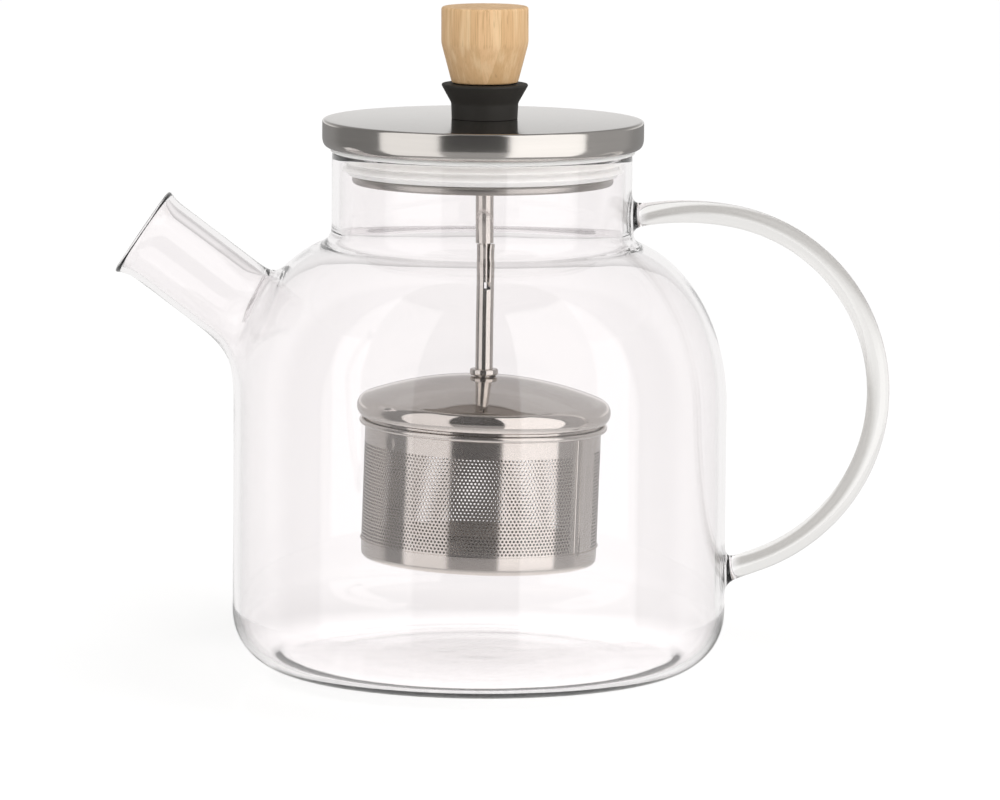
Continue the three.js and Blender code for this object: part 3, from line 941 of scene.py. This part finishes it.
class Nodes:
    """Short calls for building a node tree."""

    def __init__(self, tree):
        self.tree = tree
        tree.nodes.clear()

    def add(self, kind, inputs=None, **settings):
        node = self.tree.nodes.new("ShaderNode" + kind)
        for key, value in settings.items():
            setattr(node, key, value)
        self.set_inputs(node, inputs or {})
        return node

    def set_inputs(self, node, inputs):
        """Sets the node's sockets, linking those whose value comes from another node."""
        for key, value in inputs.items():
            socket = node.inputs[key]
            if isinstance(value, bpy.types.NodeSocket):
                self.tree.links.new(value, socket)
            else:
                socket.default_value = value

    def math(self, operation, *values):
        return self.add("Math", dict(enumerate(values)), operation=operation).outputs[0]

    def plus(self, a, b):
        return self.math("ADD", a, b)

    def minus(self, a, b):
        return self.math("SUBTRACT", a, b)

    def times(self, a, b):
        return self.math("MULTIPLY", a, b)

    def above(self, value, limit):
        return self.math("GREATER_THAN", value, limit)

    def greatest(self, a, b):
        return self.math("MAXIMUM", a, b)

    def length(self, a, b):
        return self.math("SQRT", self.plus(self.times(a, a), self.times(b, b)))

    def parts(self, vector):
        return self.add("SeparateXYZ", {0: vector}).outputs

    def mix(self, share, a, b):
        return self.add("Mix", {0: share, 6: a, 7: b}, data_type="RGBA").outputs[2]

    def blend(self, share, a, b):
        return self.add("Mix", {0: share, 2: a, 3: b}, data_type="FLOAT").outputs[0]

    def smooth(self, value, low, high):
        """0 below low, 1 above high, eased between."""
        node = self.add("MapRange", {0: value, 1: low, 2: high}, interpolation_type="SMOOTHSTEP")
        return node.outputs[0]

    def noise(self, vector, scale, detail=2.0, roughness=0.5):
        inputs = {"Vector": vector, "Scale": scale, "Detail": detail, "Roughness": roughness}
        return self.add("TexNoise", inputs).outputs[0]

    def stretched(self, vector, x, y, z):
        return self.add("VectorMath", {0: vector, 1: (x, y, z)}, operation="MULTIPLY").outputs[0]

    def bump(self, height, distance, strength=1.0):
        return self.add("Bump", {"Height": height, "Distance": distance, "Strength": strength}).outputs[0]


def grey(level, warmth=0.0):
    return (level * (1 + warmth), level, level * (1 - warmth), 1)


def new_material(name):
    material = bpy.data.materials.new(name)
    material.use_nodes = True
    nodes = Nodes(material.node_tree)
    shader = nodes.add("BsdfPrincipled")
    nodes.add("OutputMaterial", {"Surface": shader.outputs[0]})
    place = nodes.add("TexCoord").outputs["Object"]
    return material, nodes, shader, place


def painted_streak_mask(nodes, x, z):
    """1 along the painted streak in the handle's rod, on the side that its table points to: painted shade
    in place of the rod's reflection and refraction.
    """
    across = nodes.minus(x, HANDLE["centre"][0] * MM)
    up = nodes.minus(z, HANDLE["centre"][1] * MM)
    reach = nodes.length(across, up)
    outward = nodes.minus(reach, HANDLE["radius"] * MM)
    side_x, side_z = HANDLE_TINT_AND_PAINTED_STREAK["side"]
    along_x = nodes.times(nodes.math("DIVIDE", across, reach), side_x)
    along_z = nodes.times(nodes.math("DIVIDE", up, reach), side_z)
    offset = nodes.times(outward, nodes.plus(along_x, along_z))
    share = nodes.math("DIVIDE", offset, HANDLE["rod"] * MM)
    begins, ends = nodes.smooth(share, *HANDLE_TINT_AND_PAINTED_STREAK["begins"]), nodes.smooth(share, *HANDLE_TINT_AND_PAINTED_STREAK["ends"])
    facing = nodes.minus(1.0, nodes.add("NewGeometry").outputs["Backfacing"])
    return nodes.times(nodes.minus(begins, ends), facing)


def clear_glass():
    """Blown glass, with the slight waviness of its surface and a painted streak of shade in its handle."""
    material, nodes, shader, place = new_material("clear_glass")
    wave = nodes.noise(nodes.stretched(place, 1, 1, 0.5), 38.0, 1.0)
    x, _, z = nodes.parts(place)
    at_neck = nodes.smooth(z, HANDLE_TINT_AND_PAINTED_STREAK["low_z"] * MM, HANDLE_TINT_AND_PAINTED_STREAK["neck_z"] * MM)
    body, neck = GLASS["radius"] + HANDLE_TINT_AND_PAINTED_STREAK["clear"], GLASS["neck"] + HANDLE_TINT_AND_PAINTED_STREAK["clear"]
    outside = nodes.blend(at_neck, body * MM, neck * MM)
    on_handle = nodes.smooth(nodes.minus(x, outside), 0.0, HANDLE_TINT_AND_PAINTED_STREAK["fade"] * MM)
    # The dark colour here is the painted streak: shade painted along one side of the handle's rod.
    tint_and_painted_streak = nodes.mix(painted_streak_mask(nodes, x, z), (0.9, 0.89, 0.875, 1), (0.34, 0.325, 0.31, 1))
    nodes.set_inputs(shader, {
        "Base Color": nodes.mix(on_handle, (0.98, 0.963, 0.967, 1), tint_and_painted_streak),
        "Roughness": 0.0,
        "IOR": 1.47,
        "Transmission Weight": 1.0,
        "Normal": nodes.bump(wave, 0.00012),
    })
    return material


def steel(name, level, roughness, grain, depth, stretch):
    """Steel whose fine grain is noise stretched along the way it was polished."""
    material, nodes, shader, place = new_material(name)
    fine = nodes.noise(nodes.stretched(place, *stretch), grain, 3.0, 0.6)
    broad = nodes.noise(place, 90.0, 2.0)
    tint = nodes.mix(broad, grey(level * 0.97, 0.06), grey(level * 1.03, 0.06))
    rough = nodes.blend(fine, roughness * 0.8, roughness * 1.25)
    nodes.set_inputs(shader, {
        "Base Color": tint,
        "Metallic": 1.0,
        "Roughness": rough,
        "Normal": nodes.bump(fine, depth),
    })
    return material


def circular_steel():
    """Steel brushed in circles about the lid's middle."""
    material, nodes, shader, place = new_material("brushed_steel")
    x, y, z = nodes.parts(place)
    turn = nodes.times(nodes.math("ARCTAN2", y, x), 0.0015)
    across = nodes.add("CombineXYZ", {0: nodes.length(x, y), 1: turn, 2: z}).outputs[0]
    fine = nodes.noise(across, 5200.0, 3.0, 0.65)
    broad = nodes.noise(across, 700.0, 2.0)
    nodes.set_inputs(shader, {
        "Base Color": nodes.mix(broad, grey(0.63, 0.05), grey(0.69, 0.05)),
        "Metallic": 1.0,
        "Roughness": nodes.blend(fine, 0.10, 0.17),
        "Normal": nodes.bump(fine, 0.0000045),
    })
    return material


def bamboo():
    """Laminated bamboo: upright strips of differing tone, long fibres and dark flecks."""
    material, nodes, shader, place = new_material("bamboo")
    turned_place = nodes.add("Mapping", {0: place, 2: (0, 0, 0.5)}).outputs[0]
    x, y, z = nodes.parts(turned_place)
    wobble = nodes.noise(nodes.stretched(place, 1, 1, 0.2), 60.0)
    strip = nodes.math("FLOOR", nodes.plus(nodes.times(x, 210.0), nodes.times(wobble, 0.25)))
    layer = nodes.math("FLOOR", nodes.times(y, 130.0))
    cell = nodes.add("CombineXYZ", {0: strip, 1: layer, 2: 0.0}).outputs[0]
    tone = nodes.add("TexWhiteNoise", {"Vector": cell}, noise_dimensions="3D").outputs[0]
    base = nodes.mix(tone, (0.60, 0.375, 0.182, 1), (0.73, 0.475, 0.256, 1))
    fibre = nodes.noise(nodes.stretched(place, 1, 1, 0.035), 2600.0, 4.0, 0.62)
    streak = nodes.noise(nodes.stretched(place, 1, 1, 0.06), 620.0, 3.0)
    fleck = nodes.noise(nodes.stretched(place, 1, 1, 0.16), 900.0, 1.0)
    taper_z = KNOB["taper_z"] * MM
    upper = nodes.blend(nodes.smooth(z, taper_z - 0.0011, taper_z + 0.0009), 0.35, 0.85)
    dark = nodes.times(nodes.smooth(fibre, 0.42, 0.7), upper)
    pale = nodes.times(nodes.smooth(streak, 0.45, 0.75), 0.5)
    spots = nodes.times(nodes.smooth(fleck, 0.68, 0.74), 0.3)
    lined = nodes.mix(dark, base, (0.48, 0.29, 0.13, 1))
    lined = nodes.mix(pale, lined, (0.83, 0.63, 0.385, 1))
    nodes.set_inputs(shader, {
        "Base Color": nodes.mix(spots, lined, (0.30, 0.165, 0.07, 1)),
        "Roughness": nodes.blend(fibre, 0.42, 0.62),
        "Specular IOR Level": 0.4,
        "Normal": nodes.bump(fibre, 0.00006, 0.7),
    })
    return material


def black_silicone():
    material, nodes, shader, place = new_material("black_silicone")
    grain = nodes.noise(place, 5200.0, 3.0, 0.6)
    cloud = nodes.noise(place, 160.0, 2.0)
    nodes.set_inputs(shader, {
        "Base Color": nodes.mix(cloud, (0.018, 0.016, 0.0135, 1), (0.024, 0.0215, 0.018, 1)),
        "Roughness": nodes.blend(grain, 0.52, 0.68),
        "Specular IOR Level": 0.45,
        "Normal": nodes.bump(grain, 0.00002),
    })
    return material


def clear_silicone():
    material, nodes, shader, place = new_material("clear_silicone")
    cloud = nodes.noise(place, 120.0, 3.0)
    grain = nodes.noise(place, 3800.0, 2.0)
    nodes.set_inputs(shader, {
        "Base Color": nodes.mix(cloud, (0.93, 0.9, 0.865, 1), (0.96, 0.93, 0.9, 1)),
        "Roughness": nodes.blend(grain, 0.28, 0.4),
        "IOR": 1.41,
        "Transmission Weight": 0.1,
        # Painted light: a faint glow of the seal's own that lifts it out of the lid's shade.
        "Emission Color": (1, 0.96, 0.92, 1),
        "Emission Strength": 0.03,
        "Subsurface Weight": 1.0,
        "Subsurface Radius": (0.006, 0.006, 0.006),
        "Subsurface Scale": 1.0,
        "Normal": nodes.bump(grain, 0.00002),
    })
    return material


def brass():
    material, nodes, shader, place = new_material("brass")
    turned_marks = nodes.noise(nodes.stretched(place, 0.1, 0.1, 1), 5200.0, 2.0)
    nodes.set_inputs(shader, {
        "Base Color": nodes.mix(nodes.noise(place, 200.0), (0.62, 0.44, 0.18, 1), (0.72, 0.53, 0.24, 1)),
        "Metallic": 1.0,
        "Roughness": nodes.blend(turned_marks, 0.24, 0.36),
        "Normal": nodes.bump(turned_marks, 0.00002),
    })
    return material


# ---- stage, light and camera ----

WHITE = 1.08  # the room's white, as the floor and the glass see it
FLOOR_COLOUR = 0.95
FLOOR_GLOSS = 0.07
FLOOR_SIZE = 16000
TABLE_EDGE = (0.13, 0.14)  # where the table ends for the steel's reflections, in metres
FRONT = 0.08  # what the steel sees between the two soft boxes
FRONT_LOW = 0.40  # the same below the height of the table
LEFT_SIDE, RIGHT_SIDE = 0.22, 0.4
TOP = 0.33
LEFT_BOX = (-79, -31, 1.1)  # from and to in degrees from the front, then its brightness
RIGHT_BOX = (19, 79, 1.4)
BOX_HEIGHT = (-40, 62)
SOFT = 1.2  # softness of the boxes' edges in degrees
# The wall behind the pot: its brightness at each elevation in degrees.
BACK_WALL = ((0, 1.0), (5.6, 0.82), (7.2, 0.6), (10, 0.58), (14, 0.47), (25, 0.32), (45, 0.27))
BACK_TOP = 60.0
BACK_LOW = 0.3  # the same wall below the table's height
GLASS_BACK = 0.92  # the least that the glass's own reflections see behind the pot
INSIDE_BACK = 0.55  # the least that steel inside the glass sees behind the pot
WITHIN_GLASS = 0.7  # the least seen by light that is turned inside the glass
SIDE_LIGHT = 0.4  # how much brighter than its middle the room is at the right
GLOW_REACH = (0.05, 0.1)  # where the table's glow under the pot fades, in metres
TABLE_GLOW = 0.08  # light from the table under the pot
BASE_GLOW = 0.5  # the same as seen through the pot's glass


def within(nodes, value, low, high):
    """1 between low and high, with a soft box's soft edges."""
    below = nodes.smooth(nodes.times(value, -1.0), -high - SOFT, -high + SOFT)
    return nodes.times(nodes.smooth(value, low - SOFT, low + SOFT), below)


def back_wall(nodes, elevation):
    """The wall behind the pot, which is brightest at the table's height."""
    ramp = nodes.add("ValToRGB", {0: nodes.math("DIVIDE", elevation, BACK_TOP)})
    stops = ramp.color_ramp.elements
    while len(stops) < len(BACK_WALL):
        stops.new(0.5)
    for stop, (at, bright) in zip(stops, BACK_WALL):
        stop.position = at / BACK_TOP
        stop.color = (bright, bright, bright, 1)
    return nodes.blend(nodes.smooth(elevation, -3, 2), BACK_LOW, ramp.outputs[0])


def studio(nodes, azimuth, elevation):
    """What polished steel sees: two soft boxes in a dim room, and a lighter wall behind."""
    low, high = BOX_HEIGHT
    front = nodes.blend(nodes.smooth(elevation, -10.4, -9.4), FRONT_LOW, FRONT)
    level = nodes.blend(nodes.smooth(azimuth, 78, 84), front, RIGHT_SIDE)
    level = nodes.blend(nodes.smooth(nodes.times(azimuth, -1.0), 78, 84), level, LEFT_SIDE)
    behind = nodes.smooth(nodes.math("ABSOLUTE", azimuth), 120, 140)
    level = nodes.blend(behind, level, back_wall(nodes, elevation))
    level = nodes.blend(nodes.smooth(elevation, high, high + 14), level, TOP)
    tall = within(nodes, elevation, low, high)
    for start, end, bright in (LEFT_BOX, RIGHT_BOX):
        wide = within(nodes, azimuth, start, end)
        level = nodes.blend(nodes.times(wide, tall), level, bright)
    return level


def lit_glass(nodes, path, azimuth, level):
    """Keeps the studio from going dark in the glass, and to steel that stands inside it."""
    depth = path.outputs["Transmission Depth"]
    inside = nodes.minus(nodes.above(depth, 3.5), nodes.above(depth, 4.5))
    by_glass = nodes.times(path.outputs["Is Singular Ray"], nodes.minus(1.0, inside))
    least = nodes.plus(nodes.times(by_glass, GLASS_BACK), nodes.times(inside, INSIDE_BACK))
    back_half = nodes.smooth(nodes.math("ABSOLUTE", azimuth), 90, 115)
    level = nodes.greatest(level, nodes.times(least, back_half))
    turned_inside = nodes.times(nodes.above(depth, 0.5), by_glass)
    return nodes.greatest(level, nodes.times(turned_inside, WITHIN_GLASS))


def room():
    """A white room for all but reflections, which see the studio."""
    world = bpy.data.worlds.new("room")
    bpy.context.scene.world = world
    world.use_nodes = True
    world.cycles.sampling_method = "NONE"
    nodes = Nodes(world.node_tree)
    x, y, z = nodes.parts(nodes.add("TexCoord").outputs["Generated"])
    to_degrees = 180 / math.pi
    azimuth = nodes.times(nodes.math("ARCTAN2", x, nodes.times(y, -1.0)), to_degrees)
    elevation = nodes.times(nodes.math("ARCSINE", z), to_degrees)
    path = nodes.add("LightPath")
    reflected = lit_glass(nodes, path, azimuth, studio(nodes, azimuth, elevation))
    seen = nodes.greatest(nodes.above(path.outputs["Glossy Depth"], 0.5), path.outputs["Is Glossy Ray"])
    tilt = nodes.times(nodes.times(x, SIDE_LIGHT), path.outputs["Is Diffuse Ray"])
    white = nodes.times(nodes.plus(1.0, tilt), WHITE)
    strength = nodes.blend(seen, white, reflected)
    background = nodes.add("Background", {0: (1, 0.996, 0.992, 1), 1: strength})
    nodes.add("OutputWorld", {0: background.outputs[0]})


def floor():
    """A pale, slightly glossy table, which glows faintly under the pot.

    Reflections see it only near the pot.
    """
    half = FLOOR_SIZE / 2
    points = [(-half, -half, 0), (half, -half, 0), (half, half, 0), (-half, half, 0)]
    obj = new_object("table", points, [(0, 1, 2, 3)])
    material = bpy.data.materials.new("table")
    material.use_nodes = True
    nodes = Nodes(material.node_tree)
    path = nodes.add("LightPath")
    x, y, _ = nodes.parts(nodes.add("NewGeometry").outputs["Position"])
    reach = nodes.length(x, y)
    diffuse = nodes.add("BsdfDiffuse", {0: grey(FLOOR_COLOUR)})
    gloss = nodes.add("BsdfGlossy", {0: grey(0.95), "Roughness": 0.04})
    clear = nodes.add("BsdfTransparent")
    under_pot = nodes.minus(1.0, nodes.smooth(reach, *GLOW_REACH))
    through = nodes.above(path.outputs["Transmission Depth"], 0.5)
    # Painted light: this glow is an emission that lifts the shade under the pot, stronger where it is seen
    # through the glass.
    glow = nodes.add("Emission", {1: nodes.times(under_pot, nodes.blend(through, TABLE_GLOW, BASE_GLOW))})
    lit = nodes.add("AddShader", {0: diffuse.outputs[0], 1: glow.outputs[0]})
    plain = nodes.add("MixShader", {0: FLOOR_GLOSS, 1: lit.outputs[0], 2: gloss.outputs[0]})
    reflected = nodes.above(path.outputs["Glossy Depth"], 0.5)
    hidden = nodes.times(nodes.smooth(reach, *TABLE_EDGE), reflected)
    both = nodes.add("MixShader", {0: hidden, 1: plain.outputs[0], 2: clear.outputs[0]})
    nodes.add("OutputMaterial", {0: both.outputs[0]})
    obj.data.materials.append(material)


def soft_light(name, location, size, power, aim=(0, 0, 0.09)):
    """A soft light that shapes matt surfaces and isn't seen in the steel or glass."""
    light = bpy.data.lights.new(name, "AREA")
    light.shape = "RECTANGLE"
    light.size, light.size_y = size
    light.energy = power
    obj = bpy.data.objects.new(name, light)
    bpy.context.scene.collection.objects.link(obj)
    obj.location = location
    obj.rotation_euler = (Vector(location) - Vector(aim)).to_track_quat("Z", "Y").to_euler()
    obj.visible_camera = False
    obj.visible_glossy = False
    obj.visible_transmission = False


CAMERA_PLACE = (5.45, -2007, 337.2)
CAMERA_AIM = (5.45, 0, 74.2)
CAMERA_ROLL = -0.5
CAMERA_LENS = 264.98


def camera():
    data = bpy.data.cameras.new("camera")
    data.lens = CAMERA_LENS
    data.sensor_width = 36
    obj = bpy.data.objects.new("camera", data)
    bpy.context.scene.collection.objects.link(obj)
    place, aim = Vector(CAMERA_PLACE) * MM, Vector(CAMERA_AIM) * MM
    look = (aim - place).normalized()
    right = look.cross(Vector((0, 0, 1))).normalized()
    up = right.cross(look)
    roll = math.radians(CAMERA_ROLL)
    rolled_right = right * math.cos(roll) - up * math.sin(roll)
    rolled_up = right * math.sin(roll) + up * math.cos(roll)
    turn = Matrix((rolled_right, rolled_up, -look)).transposed().to_4x4()
    obj.matrix_world = Matrix.Translation(place) @ turn
    data.clip_end = 50
    bpy.context.scene.camera = obj


# ---- assembly ----

camera()
room()
floor()
soft_light("key", (0.9, -1.3, 0.9), (0.8, 0.8), 5)
soft_light("fill", (-1.3, -0.9, 0.8), (0.8, 0.8), 2)
bpy.context.scene.view_settings.view_transform = "Standard"
cycles = bpy.context.scene.cycles
cycles.use_denoising = True
cycles.max_bounces = 24
cycles.glossy_bounces = 16
cycles.transmission_bounces = 24

GLASS_LOOK = clear_glass()
LID_LOOK = circular_steel()
POLISHED = steel("polished_steel", 0.66, 0.07, 2600.0, 0.0000015, (1, 1, 0.05))
# Partly a satin finish, partly painted shade: the plate's steel is darker than the polished steel for the
# shade it lies in under the lid.
PLATE_STEEL_PAINTED_DARKER = steel("plate_steel_painted_dark", 0.5, 0.3, 2600.0, 0.0000015, (1, 1, 0.05))
SATIN = steel("satin_steel", 0.64, 0.13, 3400.0, 0.0000012, (0.12, 0.12, 1))
WOOD = bamboo()
BLACK = black_silicone()
CLEAR = clear_silicone()
BRASS = brass()

GLASS_NODES = ("glass_floor", "glass_corner", "glass_wall", "glass_shoulder", "glass_crown", "glass_neck")
place_piece(glass_pot(), "pot", "clear_glass", GLASS_LOOK, *GLASS_NODES, "spout", "handle")

place_piece(lid_cap(), "lid", "brushed_steel", LID_LOOK, "lid_cap")
place_piece(lid_plate(), "lid", "polished_steel", PLATE_STEEL_PAINTED_DARKER, "lid_plate")
place_piece(lid_seal(), "lid", "clear_silicone", CLEAR, "lid_seal")
place_piece(collar(), "lid", "black_silicone", BLACK, "knob_collar")

plunger_place = leaning(ROD)
place_piece(knob(), "plunger", "bamboo", WOOD, "knob")
upper = tube("upper_tube", ROD["radius"], ROD["bore"], ROD["low_z"], ROD["top_z"], plunger_place)
place_piece(upper, "plunger", "polished_steel", POLISHED, "upper_rod")
place_piece(spigot(), "plunger", "polished_steel", POLISHED, "rod_spigot")

place_piece(slit_rod(), "infuser", "polished_steel", POLISHED, "lower_rod")
place_piece(flange(), "infuser", "polished_steel", POLISHED, "rod_flange")
place_piece(dome(), "infuser", "polished_steel", POLISHED, "infuser_cap")
place_piece(skirt(), "infuser", "satin_steel", SATIN, "cap_skirt")

place_piece(basket_bead(), "basket", "satin_steel", SATIN, "basket_rim")
place_piece(basket_floor(), "basket", "satin_steel", SATIN, "basket_floor")
for sector in basket_wall():
    place_piece(sector, "basket", "satin_steel", SATIN, "basket_wall")
place_piece(seam_strip(), "basket", "satin_steel", SATIN)

for node, material in (
    ("lid_bush", SATIN),
    ("lid_nut", SATIN),
    ("cap_nut", SATIN),
    ("grip_ring", BLACK),
    ("knob_insert", BRASS),
):
    for material_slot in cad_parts[node].material_slots:
        material_slot.material = material
